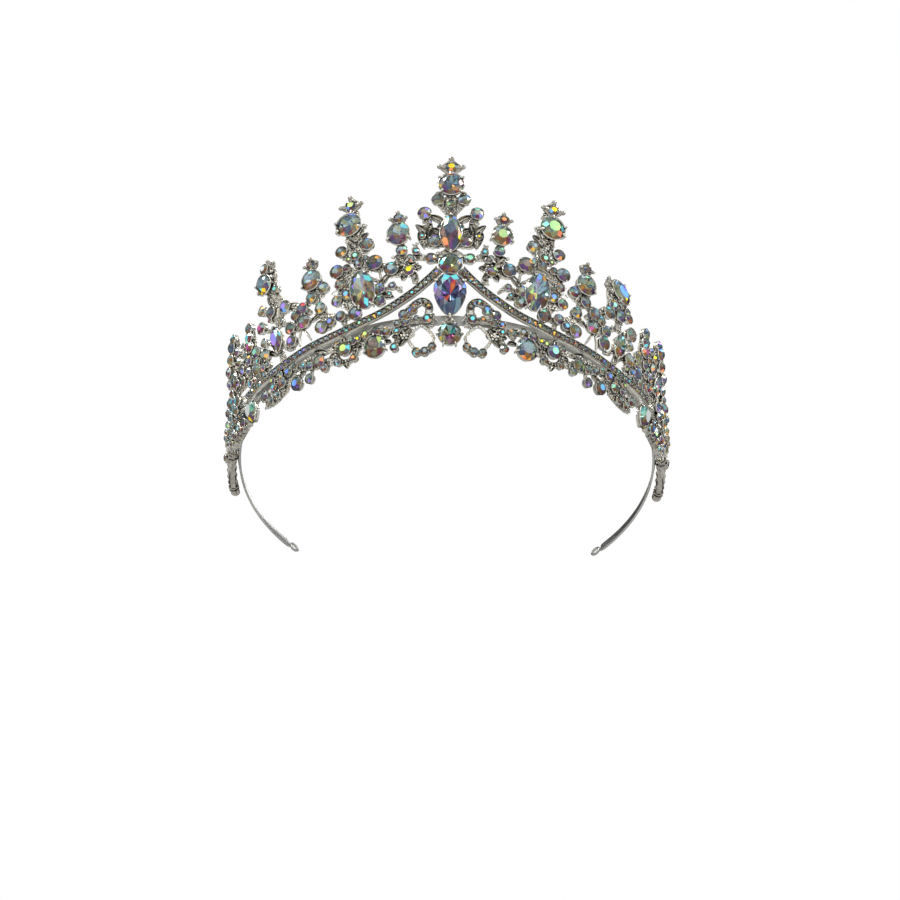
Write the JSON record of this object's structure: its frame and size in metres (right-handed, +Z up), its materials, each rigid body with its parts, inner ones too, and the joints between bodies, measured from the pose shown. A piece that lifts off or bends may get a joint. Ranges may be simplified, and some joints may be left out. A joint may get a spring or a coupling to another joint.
{
  "type": "bridal tiara",
  "caption": "Tall bridal tiara: cast silver-tone spires, pave arches and a hanging fringe set with iridescent crystals on a flat open headband.",
  "frame": {"origin": "centre of the tiara's bounding box in plan, on the surface that it stands on", "axes": "+Z up the crown, -Y out through the front and its pear crystal, +X to the wearer's left; the band is open toward +Y"},
  "size_m": [0.153, 0.1368, 0.0678],
  "materials": {
    "strip_silver": "satin silver plate",
    "cast_silver": "polished antique silver-tone casting",
    "ab_crystal": "foil-backed faceted crystal with an iridescent coating",
    "chip_crystal": "small foil-backed crystals with an iridescent coating"
  },
  "bodies": {
    "root": {"headband": "strip_silver", "end_loop_left": "strip_silver", "end_loop_right": "strip_silver", "centre_spire": "cast_silver", "arch_channel_left": "cast_silver", "arch_channel_right": "cast_silver", "spire_a_left": "cast_silver", "spire_a_right": "cast_silver", "spire_b_left": "cast_silver", "spire_b_right": "cast_silver", "spire_c_left": "cast_silver", "spire_c_right": "cast_silver", "spire_d_left": "cast_silver", "spire_d_right": "cast_silver", "spire_e_left": "cast_silver", "spire_e_right": "cast_silver", "scroll_left": "cast_silver", "scroll_right": "cast_silver", "open_ring_left": "cast_silver", "open_ring_right": "cast_silver", "fringe_left": "cast_silver", "fringe_right": "cast_silver", "end_cluster_left": "cast_silver", "end_cluster_right": "cast_silver", "end_bar_left": "cast_silver", "end_bar_right": "cast_silver", "pave_row_left": "chip_crystal", "pave_row_right": "chip_crystal", "crown_tip_stone": "ab_crystal", "crown_round_stone": "ab_crystal", "centre_marquise_stone": "ab_crystal", "centre_round_stone": "ab_crystal", "centre_pear_stone": "ab_crystal", "pendant_stone": "ab_crystal", "spire_a_tip_stone_left": "ab_crystal", "spire_a_tip_stone_right": "ab_crystal", "spire_a_round_stone_left": "ab_crystal", "spire_a_round_stone_right": "ab_crystal", "spire_b_tip_stone_left": "ab_crystal", "spire_b_tip_stone_right": "ab_crystal", "spire_b_round_stone_left": "ab_crystal", "spire_b_round_stone_right": "ab_crystal", "spire_b_oval_stone_left": "ab_crystal", "spire_b_oval_stone_right": "ab_crystal", "spire_c_tip_stone_left": "ab_crystal", "spire_c_tip_stone_right": "ab_crystal", "spire_c_round_stone_left": "ab_crystal", "spire_c_round_stone_right": "ab_crystal", "spire_d_tip_stone_left": "ab_crystal", "spire_d_tip_stone_right": "ab_crystal", "spire_d_oval_stone_left": "ab_crystal", "spire_d_oval_stone_right": "ab_crystal", "spire_d_marquise_stone_left": "ab_crystal", "spire_d_marquise_stone_right": "ab_crystal", "side_marquise_stone_left": "ab_crystal", "side_marquise_stone_right": "ab_crystal", "fringe_round_stone_left": "ab_crystal", "fringe_round_stone_right": "ab_crystal", "end_pear_stone_left": "ab_crystal", "end_pear_stone_right": "ab_crystal"}
  },
  "joints": []
}
